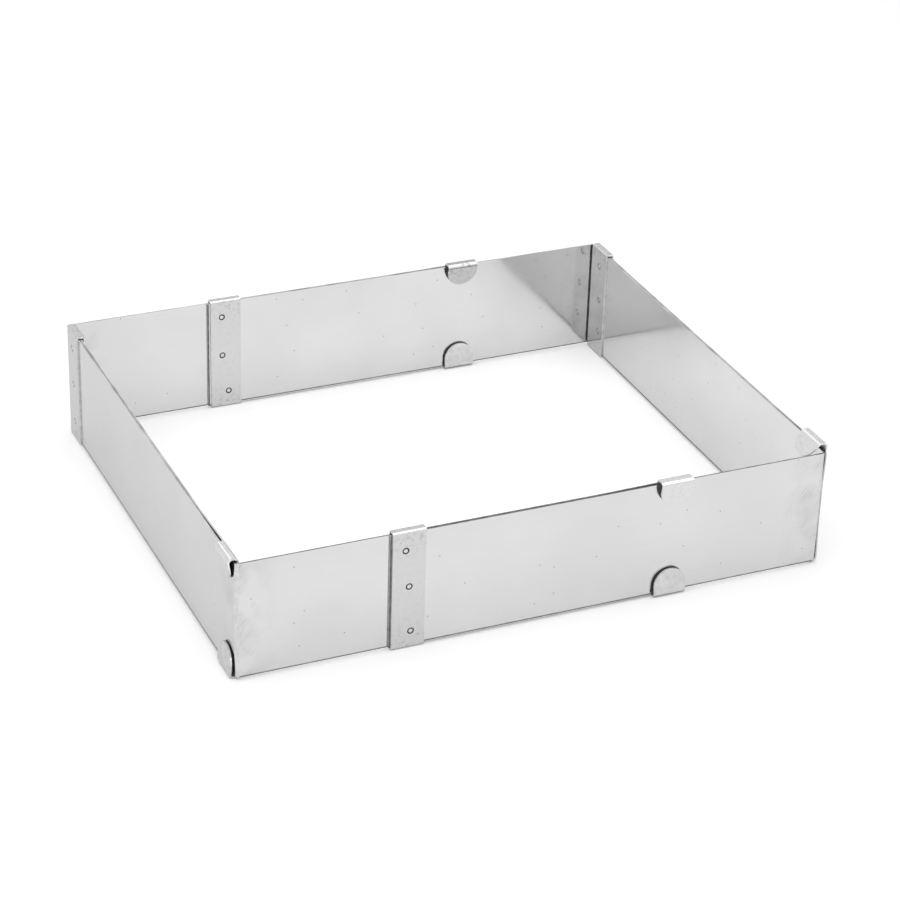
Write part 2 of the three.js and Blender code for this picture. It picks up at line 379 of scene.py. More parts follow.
@dataclass(frozen=True)
class CloudedSteel:
    """Steel with a clouded surface, as shears, punches and spot welders leave it: dull, in two greys."""

    name: str
    light: str
    dark: str
    roughness: float
    cloud_size: float
    cloud_depth: float
    clouded: tuple[float, float] = (0.36, 0.66)  # where the dark grey starts, and where it is full

    def material(self) -> Material:
        """Makes the material.

        Returns:
            The material.
        """
        material, tree, place = new_material(self.name)
        clouds = add_node(tree, "TexNoise", {"Vector": place, "Scale": 1 / self.cloud_size, "Detail": 3.0})
        low, high = self.clouded
        shade = add_node(tree, "MapRange", {"Value": clouds, "From Min": low, "From Max": high})
        finish_steel(tree, self.light, [(shade, self.dark)], self.roughness, (clouds, self.cloud_depth))
        return material


# The straps: pressed flat, and rubbed where the folds were made
FOLDED_STRIP = FoldedSteel("folded_stainless_strip", "#cbcbcb", "#a6a6a6", clear=14 * MM)
# The ears: painted a little lighter than the sheet, as painted light for the brighter look of their tilted
# faces, with rub marks near the folds
BENT_TAB_WITH_PAINTED_LIGHT = FoldedSteel("bent_tab_with_painted_light", "#dadada", "#cacaca", clear=15 * MM)
# The back wall's upper ear: dulled by handling
DULLED_TAB = FoldedSteel("dulled_stainless_tab", "#bababa", "#868686", clear=15 * MM)
# The upper edges and cut ends: the shear slid along them and left them grey and even
BURNISHED_EDGE = CloudedSteel("burnished_sheared_edge", "#c6c6c6", "#a2a2a2", 0.4, 9 * MM, 0.01 * MM)
# The lower edges and the front wall's upper ones: the steel tore there, and is dark and rough. The same dark
# grey is also painted shade: a painted contact shadow along the lower edges, and dark bands beside the
# straps' ends and under the straps
TORN_EDGE = CloudedSteel("torn_edge_and_painted_shade", "#7e7e7e", "#5c5c5c", 0.46, 2.5 * MM, 0.03 * MM)
# The ears' outline and the straps' sides: the punch left them bright, and they are painted lighter still, a
# painted highlight along these edges
PUNCHED_EDGE_AND_HIGHLIGHT = CloudedSteel("punched_edge_and_painted_highlight", "#e8e8e8", "#cccccc", 0.42, 2 * MM, 0.01 * MM)
# The ears' hollow side: rubbed dull by the sheet that slides in it
RUBBED_INSIDE = CloudedSteel("rubbed_tab_inside", "#d0d0d0", "#b2b2b2", 0.55, 3 * MM, 0.02 * MM)
# The bent corners, the lower ears and the upper ears' flat tops: strained, so clouded and a little duller
STRAINED_CORNER = CloudedSteel("strained_bend", "#d5d5d5", "#c6c6c6", 0.24, 2 * MM, 0.01 * MM)
# Where the welder's electrode sat: flattened and bright
WELD_END = CloudedSteel("pressed_weld_end", "#dcdcdb", "#c2c2c0", 0.3, 0.8 * MM, 0.02 * MM)
# Round it: scorched, dark grey and matt
WELD_RING = CloudedSteel("scorched_weld_ring", "#585755", "#343332", 0.55, 1.1 * MM, 0.03 * MM)
# Round the welds of the side walls, which were hardly scorched
PALE_WELD_RING = CloudedSteel("tinted_weld_ring", "#9d9c9a", "#6a6967", 0.45, 1.6 * MM, 0.03 * MM)


@dataclass(frozen=True)
class Wall:
    """One wall: the way it runs, the way its strap side faces, and where its outer sheet stands."""

    along: Vector
    out: Vector
    face: float
    low: float
    high: float

    def place(self, along: float, out: float, up: float) -> Vector:
        """Gives a point of the wall from its distances along, out from the outer sheet's face, and up."""
        return self.along * along + self.out * (out - self.face) + UP * up

    def level(self, out: float) -> float:
        """Gives how far along the neighbouring walls a plane of this wall stands."""
        return self.face - out

    def depth(self, point: Vector) -> float:
        """Gives how far out of the outer sheet's face a point is."""
        return point.dot(self.out) + self.face

    def rim(self, edge: Edge) -> float:
        """Gives the height of the sheets' upper or lower edge."""
        return self.high if edge is Edge.TOP else self.low


@dataclass(frozen=True)
class Layout:
    """Where the walls, the legs' cut ends and the straps stand."""

    walls: dict[Side, Wall]
    tab_end: dict[Side, float]
    strap_end: dict[Side, float]
    strap_span: dict[Side, tuple[float, float]]

    @classmethod
    def from_frame(cls, strip: float, longer: float = 0.4 * MM) -> "Layout":
        """Reads the layout from the boxes of the angles and straps.

        Args:
            strip: Thickness of a strap.
            longer: How much nearer to the back wall the right wall's outer sheet and strap end.

        Returns:
            The layout.
        """
        front_left_low, front_left_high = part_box("front_left_angle")
        front_right_low, front_right_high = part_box("front_right_angle")
        back_left_low, back_left_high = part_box("back_left_angle")
        back_right_low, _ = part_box("back_right_angle")
        straps = {side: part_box(f"{side.value}_strap") for side in Side}
        run = {Side.FRONT: 0, Side.BACK: 0, Side.LEFT: 1, Side.RIGHT: 1}
        axes = (Vector((1.0, 0.0, 0.0)), Vector((0.0, 1.0, 0.0)))
        walls = {
            side: Wall(
                along=axes[axis],
                out=-axes[1 - axis],
                face=straps[side][0][1 - axis] + strip,
                low=front_right_low[2],
                high=front_right_high[2],
            )
            for side, axis in run.items()
        }
        return cls(
            walls=walls,
            tab_end={
                Side.FRONT: front_left_high[0],
                Side.BACK: back_left_high[0],
                Side.LEFT: back_left_low[1],
                Side.RIGHT: back_right_low[1],
            },
            strap_end={
                Side.FRONT: front_right_low[0],
                Side.BACK: back_right_low[0],
                Side.LEFT: front_left_high[1],
                Side.RIGHT: front_right_high[1] + longer,
            },
            strap_span={
                side: (straps[side][0][axis], straps[side][1][axis] + (longer if side is Side.RIGHT else 0.0))
                for side, axis in run.items()
            },
        )


def make_active(obj: Object) -> None:
    """Makes an object the only selected and active one.

    Args:
        obj: The object.
    """
    bpy.ops.object.select_all(action="DESELECT")
    obj.select_set(True)
    bpy.context.view_layer.objects.active = obj


def apply_modifier(obj: Object, kind: str, **settings: object) -> None:
    """Adds a modifier with its settings and applies it.

    Args:
        obj: The object.
        kind: The modifier's type.
        settings: The modifier's settings, by name.
    """
    make_active(obj)
    modifier = obj.modifiers.new(kind.lower(), kind)
    for name, value in settings.items():
        setattr(modifier, name, value)
    bpy.ops.object.modifier_apply(modifier=modifier.name)


def round_edges(obj: Object, radius: float, finish: int = -1) -> None:
    """Rounds an object's sharp edges and shades it smooth, with its flat faces kept flat.

    Args:
        obj: The object.
        radius: How far the rounding reaches.
        finish: Place of the rounding's material on the object, or -1 for that of the faces beside it.
    """
    apply_modifier(
        obj,
        "BEVEL",
        width=radius,
        limit_method="ANGLE",
        angle_limit=SHARP,
        segments=ROUNDING_STEPS,
        material=finish,
    )
    bpy.ops.object.shade_smooth_by_angle(angle=SOFT)
    apply_modifier(obj, "WEIGHTED_NORMAL", keep_sharp=True, weight=LARGE_FACE_WEIGHT)


def thicken(obj: Object, thickness: float) -> None:
    """Gives a surface its thickness, half to each side, with the next finish in its list on the cut edges."""
    apply_modifier(
        obj, "SOLIDIFY", thickness=thickness, offset=0.0, use_even_offset=True, material_offset_rim=1
    )


def node_middle(node: str) -> Vector:
    """Gives the middle of a node's box."""
    low, high = (Vector(corner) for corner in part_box(node))
    return (low + high) / 2


def aim(place: tuple[float, float, float], target: tuple[float, float, float]) -> Quaternion:
    """Gives the turn with which a lamp or a camera at a place looks at a target."""
    return (Vector(target) - Vector(place)).to_track_quat("-Z", "Y")


class Workpiece:
    """A sheet that is cut and folded on the bench, one step at a time, as a surface in its middle."""

    def __init__(
        self, name: str, wall: Wall, out: float, span: tuple[float, float], rise: tuple[float, float]
    ) -> None:
        """Cuts a flat plate to start from.

        Args:
            name: The piece's name.
            wall: The wall that it stands in.
            out: How far out of the outer sheet's face the plate stands.
            span: Where it starts and ends along the wall.
            rise: Where it starts and ends in height.
        """
        bpy.ops.object.select_all(action="DESELECT")
        bpy.ops.mesh.primitive_plane_add(size=1.0)
        self.obj = bpy.context.object
        self.obj.name = self.obj.data.name = name
        sides = (wall.along * (span[1] - span[0]), UP * (rise[1] - rise[0]), wall.along.cross(UP))
        middle = wall.place(sum(span) / 2, out, sum(rise) / 2)
        self.obj.matrix_world = Matrix.Translation(middle) @ Matrix(sides).transposed().to_4x4()
        bpy.ops.object.transform_apply(location=True, rotation=True, scale=True)
        bpy.ops.object.mode_set(mode="EDIT")

    def pick(self, kind: Kind, where: Callable[[object], bool]) -> None:
        """Picks the corners, edges or faces at which a test holds, and nothing else.

        Args:
            kind: What is picked.
            where: The test, given the corner, edge or face.
        """
        bpy.ops.mesh.select_mode(type=kind.value)
        bpy.ops.mesh.select_all(action="DESELECT")
        mesh = bmesh.from_edit_mesh(self.obj.data)
        chosen = {Kind.CORNERS: mesh.verts, Kind.EDGES: mesh.edges, Kind.FACES: mesh.faces}[kind]
        for element in chosen:
            if where(element):
                element.select_set(True)
        mesh.select_flush(True)
        bmesh.update_edit_mesh(self.obj.data)

    def pick_row(self, start: Vector, end: Vector) -> None:
        """Picks the corners on the straight line from one point to another.

        Args:
            start: One end of the line.
            end: Its other end.
        """
        run = end - start
        length = run.length
        run.normalize()

        def on_line(corner: BMVert) -> bool:
            """Tells whether a corner lies on the line.

            Args:
                corner: The corner.

            Returns:
                Whether it does.
            """
            reach = (corner.co - start).dot(run)
            off_line = (corner.co - start - run * reach).length
            return off_line < SAME_PLACE and -SAME_PLACE < reach < length + SAME_PLACE

        self.pick(Kind.CORNERS, on_line)

    def extrude(self, move: Vector) -> None:
        """Draws the picked edges out by a move."""
        bpy.ops.mesh.extrude_region_move(TRANSFORM_OT_translate={"value": tuple(move)})

    def bend(self, centre: Vector, start: Vector, towards: Vector, angle: float, steps: int) -> None:
        """Draws the picked edges out round a centre.

        Args:
            centre: A point on the bend's axis.
            start: The way from the axis to the picked edges.
            towards: The way they go first, square to start.
            angle: How far they go.
            steps: Number of flats in the bend.
        """
        # The spin runs clockwise about its axis, so the axis points the other way
        axis = towards.cross(start)
        bpy.ops.mesh.spin(steps=steps, angle=angle, center=tuple(centre), axis=tuple(axis))

    def cut(self, point: Vector, normal: Vector) -> None:
        """Scores the whole surface along a plane."""
        bpy.ops.mesh.select_all(action="SELECT")
        bpy.ops.mesh.bisect(plane_co=tuple(point), plane_no=tuple(normal))

    def split(self, longer_than: float, upright: bool, cuts: int) -> None:
        """Splits the long edges that run up, or those that run level.

        Args:
            longer_than: The least length of an edge that is split.
            upright: Whether the edges run up.
            cuts: Number of cuts in each.
        """

        def is_long(edge: BMEdge) -> bool:
            """Tells whether an edge is to be split."""
            run = edge.verts[1].co - edge.verts[0].co
            return run.length > longer_than and (abs(run.z) > run.length / 2) == upright

        self.pick(Kind.EDGES, is_long)
        bpy.ops.mesh.subdivide(number_cuts=cuts)

    def drop_faces(self, where: Callable[[BMFace], bool]) -> None:
        """Cuts away the faces at which a test holds."""
        self.pick(Kind.FACES, where)
        bpy.ops.mesh.delete(type="FACE")

    def mark(self, finish: Finish, where: Callable[[BMFace], bool]) -> None:
        """Marks the faces at which a test holds for a finish.

        Args:
            finish: The finish.
            where: The test, given the face.
        """
        mesh = bmesh.from_edit_mesh(self.obj.data)
        for face in mesh.faces:
            if where(face):
                face.material_index = finish
        bmesh.update_edit_mesh(self.obj.data)

    def off_the_bench(self) -> Object:
        """Joins corners that meet and ends the shaping.

        Returns:
            The shaped surface.
        """
        bpy.ops.mesh.select_all(action="SELECT")
        bpy.ops.mesh.remove_doubles(threshold=SAME_PLACE)
        bpy.ops.mesh.normals_make_consistent(inside=False)
        bpy.ops.object.mode_set(mode="OBJECT")
        return self.obj


@dataclass(frozen=True)
class Gauge:
    """Sizes that the sheets of all walls share."""

    sheet: float = 0.7 * MM
    slide_gap: float = 0.7 * MM
    corner_bend: float = 0.8 * MM
    corner_steps: int = 10
    edge_round: float = 0.2 * MM
    wave_height: float = 0.14 * MM
    wave_length: float = 80 * MM
    cell: float = 5 * MM  # size of the flats that a wall is split into
    long_edge: float = 60 * MM  # level edges longer than this are split
    tall_edge: float = 40 * MM  # the same for upright edges
    bent: float = 0.999  # a face whose normal is less than this along one axis belongs to a bend
    draw_in: float = 0.52 * MM  # how much nearer the inner sheet comes to the outer one, away from its tabs
    free_end: tuple[float, float] = (8 * MM, 45 * MM)  # where it starts and ends coming near, from its end
    stiff_edge: tuple[float, float] = (2 * MM, 16 * MM)  # the same from its long edges, between its tabs
    painted_shadow_band: float = 0.5 * MM  # height of the band along the lower edges that is painted dark, a painted contact shadow
    painted_end_shade: float = 0.75 * MM  # width of the band at the cut ends beside the straps that is painted dark as shade
    flat_top: float = 0.98  # least upward share of a face's normal on an ear's flat top

    @property
    def outer_middle(self) -> float:
        """Gives the outer sheet's middle, from its strap-side face."""
        return -self.sheet / 2

    @property
    def inner_middle(self) -> float:
        """Gives the inner sheet's middle, from the outer sheet's strap-side face."""
        return -(1.5 * self.sheet + self.slide_gap)


@dataclass(frozen=True)
class Bend:
    """How a hook tab is bent: its rise over the sheet's edge, its standoff, and its lean in degrees."""

    rise: float
    standoff: float
    lean: float
    finish: Finish = Finish.TAB
    roundness: float = 0.8  # share of the bend's inner half width that is rounded


@dataclass(frozen=True)
class Leg:
    """One leg of an angle: its wall, its sheet's middle, its cut end and its tabs."""

    wall: Wall
    middle: float
    end: float
    tabs: dict[Edge, Bend] = field(default_factory=dict)


@dataclass(frozen=True)
class HookTab:
    """An ear of the inner sheet, bent round the outer sheet's edge, with a half-round end."""

    gauge: Gauge
    width: float = 13.9 * MM
    length: float = 12.1 * MM  # up from the sheet's edge to the bend and down to the tip
    root: float = 1 * MM  # from the sheet's edge to where the ear starts
    bend_steps: int = 10
    round_steps: int = 28

    def fold(self, work: Workpiece, leg: Leg, edge: Edge, span: tuple[float, float]) -> None:
        """Folds a tab out of the sheet.

        Args:
            work: The sheet.
            leg: The leg whose end has the tab.
            edge: The edge that it goes round.
            span: Where it starts and ends along the wall.
        """
        wall, bend, up = leg.wall, leg.tabs[edge], UP * edge.value
        sheet, lean = self.gauge.sheet, math.radians(bend.lean)
        start = wall.rim(edge) - edge.value * self.root
        middle = (span[0] + span[1]) / 2

        def on_tab(face: BMFace) -> bool:
            """Tells whether a face lies in the tab's stretch, past its root or off the sheet.

            Args:
                face: The face.

            Returns:
                Whether it does.
            """
            centre = face.calc_center_median()
            in_span = span[0] < centre.dot(wall.along) < span[1]
            near_edge = abs(centre.z - start) < self.length
            past_root = (centre.z - start) * edge.value > 0
            off_sheet = wall.depth(centre) > leg.middle + sheet / 2
            return in_span and near_edge and (past_root or off_sheet)

        work.drop_faces(on_tab)
        work.pick_row(wall.place(span[0], leg.middle, start), wall.place(span[1], leg.middle, start))
        inner = bend.roundness * (bend.standoff + sheet + self.gauge.slide_gap) / 2
        radius = inner + sheet / 2
        setback = radius * math.tan((QUARTER + lean) / 2)
        rise = self.root + bend.rise - inner
        top_run = bend.standoff + sheet / 2 - leg.middle - radius - setback
        work.extrude(up * rise)
        centre = wall.place(middle, leg.middle + radius, start + edge.value * rise)
        work.bend(centre, -wall.out, up, QUARTER, self.bend_steps)
        work.extrude(wall.out * top_run)
        centre += wall.out * top_run
        work.bend(centre, up, wall.out, QUARTER + lean, self.bend_steps)

        down = -wall.out * math.sin(lean) - up * math.cos(lean)
        facing = wall.out * math.cos(lean) - up * math.sin(lean)
        straight = self.length - bend.rise - sheet / 2 - self.width / 2 - setback
        work.extrude(down * straight)
        foot = centre + facing * radius + down * straight
        work.pick_row(foot, foot + wall.along * self.width / 2)
        work.bend(foot, wall.along, down, 2 * QUARTER, self.round_steps)
        work.mark(bend.finish, on_tab)


@dataclass(frozen=True)
class Angle:
    """One sheet bent to an L, with hook tabs at the end of each leg that lies inside its wall."""

    node: str
    body: str
    legs: tuple[Leg, Leg]
    gauge: Gauge
    tab: HookTab
    torn_before: float  # upper edges nearer to the front than this are torn

    def build(self) -> Object:
        """Cuts and bends the sheet.

        Returns:
            The sheet's middle surface.
        """
        first, second = self.legs
        corners = self.corners()
        inward = [math.copysign(1, corner - leg.end) for leg, corner in zip(self.legs, corners)]
        radius = self.gauge.corner_bend + self.gauge.sheet / 2
        tab_stop = [leg.end + way * self.tab.width for leg, way in zip(self.legs, inward)]
        bend_stop = [corner - way * radius for corner, way in zip(corners, inward)]
        spans = [tuple(sorted((leg.end, stop))) for leg, stop in zip(self.legs, tab_stop)]
        low, high = first.wall.low, first.wall.high

        work = Workpiece(f"{self.node}_sheet", first.wall, first.middle, spans[0], (low, high))
        foot, top = (first.wall.place(tab_stop[0], first.middle, height) for height in (low, high))
        work.pick_row(foot, top)
        work.extrude(first.wall.along * (bend_stop[0] - tab_stop[0]))
        along, across = first.wall.along * inward[0], second.wall.along * inward[1]
        centre = first.wall.place(bend_stop[0], first.middle, low) - across * radius
        work.bend(centre, across, along, QUARTER, self.gauge.corner_steps)
        work.extrude(second.wall.along * (tab_stop[1] - bend_stop[1]))
        work.extrude(second.wall.along * (second.end - tab_stop[1]))

        for edge in Edge:
            work.cut(UP * (first.wall.rim(edge) - edge.value * self.tab.root), UP)
        for leg, span in zip(self.legs, spans):
            work.cut(leg.wall.along * (sum(span) / 2), leg.wall.along)
        # The lowest band of the sheet takes the dark torn finish: a painted contact shadow along the floor
        work.cut(UP * (low + self.gauge.painted_shadow_band), UP)
        # Beside each strap, the band at the sheet's cut end is painted dark as the shade there
        for leg, way in zip(self.legs, inward):
            if not leg.tabs:
                work.cut(leg.wall.along * (leg.end + way * self.gauge.painted_end_shade), leg.wall.along)
        work.mark(Finish.TORN_EDGE, lambda face: face.calc_center_median().z < low + self.gauge.painted_shadow_band)
        work.mark(Finish.CORNER, lambda face: max(map(abs, face.normal)) < self.gauge.bent)
        for leg in self.legs:
            if not leg.tabs:
                self.paint_cut_end_shade(work, leg)
        longest = max(abs(a - b) for a, b in zip(tab_stop, bend_stop))
        work.split(self.gauge.long_edge, False, round(longest / self.gauge.cell))
        work.split(self.gauge.tall_edge, True, round((high - low) / self.gauge.cell))
        for leg, span in zip(self.legs, spans):
            for edge in leg.tabs:
                self.tab.fold(work, leg, edge, span)
        return work.off_the_bench()

    def corners(self) -> tuple[float, float]:
        """Gives how far along each leg's wall the other leg stands."""
        first, second = self.legs
        return second.wall.level(second.middle), first.wall.level(first.middle)

    def paint_cut_end_shade(self, work: Workpiece, leg: Leg) -> None:
        """Paints the narrow band at a leg's cut end, beside its strap, with the dark torn finish as painted
        shade.

        Args:
            work: The sheet.
            leg: A leg that has a strap.
        """

        def at_end(face: BMFace) -> bool:
            """Tells whether a face lies in the band."""
            return abs(face.calc_center_median().dot(leg.wall.along) - leg.end) < self.gauge.painted_end_shade

        work.mark(Finish.TORN_EDGE, at_end)

    def lean_on_outer_sheet(self, obj: Object) -> None:
        """Lets each inner leg come near the outer sheet, away from its tabs.

        Args:
            obj: The angle's surface.
        """
        for leg in self.legs:
            if not leg.tabs:
                continue
            group = obj.vertex_groups.new(name="near_outer_sheet")
            for vertex in obj.data.vertices:
                reach = abs(vertex.co.dot(leg.wall.along) - leg.end)
                height = min(leg.wall.high - vertex.co.z, vertex.co.z - leg.wall.low)
                flat = abs(leg.wall.depth(vertex.co) - leg.middle) < SAME_PLACE
                bulge = smooth_step(height, *self.gauge.stiff_edge) if flat else 0.0
                group.add([vertex.index], max(bulge, smooth_step(reach, *self.gauge.free_end)), "REPLACE")
            apply_modifier(
                obj,
                "DISPLACE",
                direction="Y" if abs(leg.wall.out.y) > FACING else "X",
                strength=-self.gauge.draw_in,
                mid_level=0.0,
                vertex_group=group.name,
            )
            obj.vertex_groups.clear()

    def dress(self, obj: Object, finishes: dict[Finish, Material]) -> None:
        """Gives the sheet its slight waves, its thickness, its rounded edges and its finishes.

        Args:
            obj: The angle's surface.
            finishes: Material of each finish.
        """
        for finish in Finish:
            obj.data.materials.append(finishes[finish])
        self.lean_on_outer_sheet(obj)
        waves = bpy.data.textures.new(f"{self.node}_waves", "CLOUDS")
        waves.noise_scale = self.gauge.wave_length
        waves.noise_depth = 0
        apply_modifier(obj, "DISPLACE", texture=waves, strength=self.gauge.wave_height, mid_level=0.5)
        thicken(obj, self.gauge.sheet)
        self.finish_hidden_sides(obj)
        round_edges(obj, self.gauge.edge_round)

    def finish_hidden_sides(self, obj: Object) -> None:
        """Finishes the lower edges, the ears' hollow sides and flat tops, and the corner's cut edges.

        Args:
            obj: The angle, with its thickness.
        """
        wall = self.legs[0].wall
        middle = (wall.low + wall.high) / 2
        folded = (Finish.TAB, Finish.DULL_TAB, Finish.CORNER)
        punched_highlit = (Finish.TAB_EDGE, Finish.DULL_TAB_EDGE)
        for polygon in obj.data.polygons:
            index, centre, upward = polygon.material_index, polygon.center, polygon.normal.z
            if index in folded and self.faces_hollow(polygon):
                polygon.material_index = Finish.TAB_INSIDE
            elif index == Finish.TAB and upward > self.gauge.flat_top:
                polygon.material_index = Finish.CORNER
            # The cut edges of a corner have the place after the last finish
            elif index > Finish.CORNER or (index == Finish.CORNER and abs(upward) > FACING):
                polygon.material_index = Finish.EDGE
            # The lower ears' outline takes the plain edge finish, without the painted highlight of the upper
            # ones
            elif index in punched_highlit and centre.z < middle:
                polygon.material_index = Finish.EDGE
            lower = centre.z < wall.low + SAME_PLACE and upward < -FACING
            front = index == Finish.EDGE and centre.y < self.torn_before and upward > FACING
            if lower or front:
                polygon.material_index = Finish.TORN_EDGE

    def faces_hollow(self, polygon: MeshPolygon) -> bool:
        """Tells whether a face of an ear looks into the hollow in which the outer sheet slides.

        Args:
            polygon: The face.

        Returns:
            Whether it does.
        """
        for leg in self.legs:
            reach = abs(polygon.center.dot(leg.wall.along) - leg.end)
            if leg.tabs and reach < self.tab.width:
                edge = Edge.TOP if polygon.center.z > (leg.wall.low + leg.wall.high) / 2 else Edge.BOTTOM
                core = leg.wall.place(
                    polygon.center.dot(leg.wall.along), self.gauge.outer_middle, leg.wall.rim(edge)
                )
                return polygon.normal.dot(core - polygon.center) > 0
        return False


@dataclass(frozen=True)
class Strap:
    """A strip folded over the upper and lower edges of both sheets, with a lip behind them."""

    side: Side
    body: str
    wall: Wall
    span: tuple[float, float]
    gauge: Gauge
    strip: float = 0.7 * MM
    fold_gap: float = 0.35 * MM
    fold_radius: float = 0.15 * MM
    lip_gap: float = 0.3 * MM
    lip_reach: float = 4 * MM
    fold_steps: int = 6
    hole_radius: float = 1.4 * MM
    hole_sides: int = 40
    punch_reach: float = 3.0  # length of the punch for the weld holes, in thicknesses of the strip
    edge_round: float = 0.2 * MM

    @property
    def node(self) -> str:
        """Gives the node that the strap stands for."""
        return f"{self.side.value}_strap"

    def build(self) -> Object:
        """Cuts and folds the strip.

        Returns:
            The strap's middle surface.
        """
        wall, face = self.wall, self.strip / 2
        rise = self.fold_gap - self.fold_radius
        radius = self.fold_radius + self.strip / 2
        lip = self.gauge.inner_middle - self.gauge.sheet / 2 - self.lip_gap - self.strip / 2
        run = face - lip - 2 * radius
        work = Workpiece(f"{self.node}_strip", wall, face, self.span, (wall.low - rise, wall.high + rise))
        for edge in Edge:
            up, level = UP * edge.value, wall.rim(edge) + edge.value * rise
            work.pick_row(wall.place(self.span[0], face, level), wall.place(self.span[1], face, level))
            centre = wall.place(self.span[0], face - radius, level)
            work.bend(centre, wall.out, up, QUARTER, self.fold_steps)
            work.extrude(-wall.out * run)
            work.bend(centre - wall.out * run, up, -wall.out, QUARTER, self.fold_steps)
            work.extrude(-up * (self.lip_reach + rise))
        return work.off_the_bench()

    def dress(self, obj: Object, spots: list[Vector], finishes: dict[StripFinish, Material]) -> None:
        """Gives the strip its thickness, its weld holes, its rounded edges and its finishes.

        Args:
            obj: The strap's surface.
            spots: The middles of its welds.
            finishes: Material of each finish.
        """
        for finish in StripFinish:
            obj.data.materials.append(finishes[finish])
        thicken(obj, self.strip)
        # The strap's underside takes the dark torn finish: painted shade under the strap
        for polygon in obj.data.polygons:
            if polygon.center.z < self.wall.low and polygon.normal.z < -FACING:
                polygon.material_index = StripFinish.UNDERSIDE
        turn = UP.rotation_difference(self.wall.out).to_euler()
        for spot in spots:
            bpy.ops.mesh.primitive_cylinder_add(
                vertices=self.hole_sides,
                radius=self.hole_radius,
                depth=self.punch_reach * self.strip,
                location=spot,
                rotation=turn,
            )
            punch = bpy.context.object
            apply_modifier(obj, "BOOLEAN", operation="DIFFERENCE", object=punch, solver="EXACT")
            bpy.data.objects.remove(punch)
        round_edges(obj, self.edge_round, finish=StripFinish.FACE)


@dataclass(frozen=True)
class SpotWeld:
    """A spot weld in a strap: a bright pressed end with a scorched groove round it."""

    radius: float = 1.35 * MM
    height: float = 0.64 * MM
    land: float = 0.1 * MM
    slope: float = 0.14 * MM
    groove: float = 0.1 * MM
    groove_depth: float = 0.2 * MM
    dish: float = 0.06 * MM
    dish_share: float = 0.4  # share of the weld's radius that the dish's slope takes
    sides: int = 40
    edge_round: float = 0.05 * MM

    def build(self, finishes: dict[WeldFinish, Material]) -> Object:
        """Models the weld once, standing on the ground.

        Args:
            finishes: Material of each finish.

        Returns:
            The weld.
        """
        bpy.ops.object.select_all(action="DESELECT")
        bpy.ops.mesh.primitive_circle_add(vertices=self.sides, radius=self.radius, fill_type="NGON")
        obj = bpy.context.object
        for finish in WeldFinish:
            obj.data.materials.append(finishes[finish])
        bpy.ops.object.mode_set(mode="EDIT")
        bpy.ops.mesh.select_mode(type="FACE")
        bpy.ops.mesh.select_all(action="SELECT")
        bpy.ops.mesh.extrude_region_move(TRANSFORM_OT_translate={"value": (0.0, 0.0, self.height)})
        steps = (
            (self.land, 0.0),
            (self.slope, -self.groove_depth),
            (self.groove, 0.0),
            (self.slope, self.groove_depth),
            (self.dish_share * self.radius, -self.dish),
        )
        for inwards, rise in steps:
            bpy.ops.mesh.inset(thickness=inwards, depth=rise)
        bpy.ops.mesh.select_all(action="SELECT")
        bpy.ops.mesh.normals_make_consistent(inside=False)
        bpy.ops.object.mode_set(mode="OBJECT")
        end = self.radius - self.land - 2 * self.slope - self.groove
        for polygon in obj.data.polygons:
            reach = max(obj.data.vertices[index].co.xy.length for index in polygon.vertices)
            finish = WeldFinish.RING if reach > end + SAME_PLACE else WeldFinish.END
            polygon.material_index = finish
        round_edges(obj, self.edge_round)
        return obj

    def set_in(self, master: Object, node: str, wall: Wall, tilt: tuple[float, float]) -> Object:
        """Sets a copy of the weld in its strap.

        Args:
            master: The weld that is copied.
            node: The node whose place it takes.
            wall: The strap's wall.
            tilt: How far it leans, about the wall's run and about its other way, in degrees.

        Returns:
            The copy.
        """
        middle = node_middle(node)
        obj = master.copy()
        obj.data = master.data.copy()
        obj.name = obj.data.name = f"{node}_end"
        bpy.context.collection.objects.link(obj)
        basis = Matrix((wall.along, wall.out.cross(wall.along), wall.out)).transposed().to_4x4()
        nod, turn = (Matrix.Rotation(math.radians(angle), 4, axis) for angle, axis in zip(tilt, "XY"))
        foot = wall.place(middle.dot(wall.along), 0.0, middle.z)
        obj.matrix_world = Matrix.Translation(foot) @ basis @ nod @ turn
        make_active(obj)
        bpy.ops.object.transform_apply(location=True, rotation=True, scale=True)
        return obj


@dataclass(frozen=True)
class Softbox:
    """A large soft lamp."""

    name: str
    place: tuple[float, float, float]
    target: tuple[float, float, float]
    size: tuple[float, float]
    watts: float

    def build(self) -> None:
        """Hangs the lamp."""
        lamp = bpy.data.lights.new(self.name, "AREA")
        lamp.shape = "RECTANGLE"
        lamp.size, lamp.size_y = self.size
        lamp.energy = self.watts
        obj = bpy.data.objects.new(self.name, lamp)
        obj.location = self.place
        obj.rotation_euler = aim(self.place, self.target).to_euler()
        bpy.context.collection.objects.link(obj)


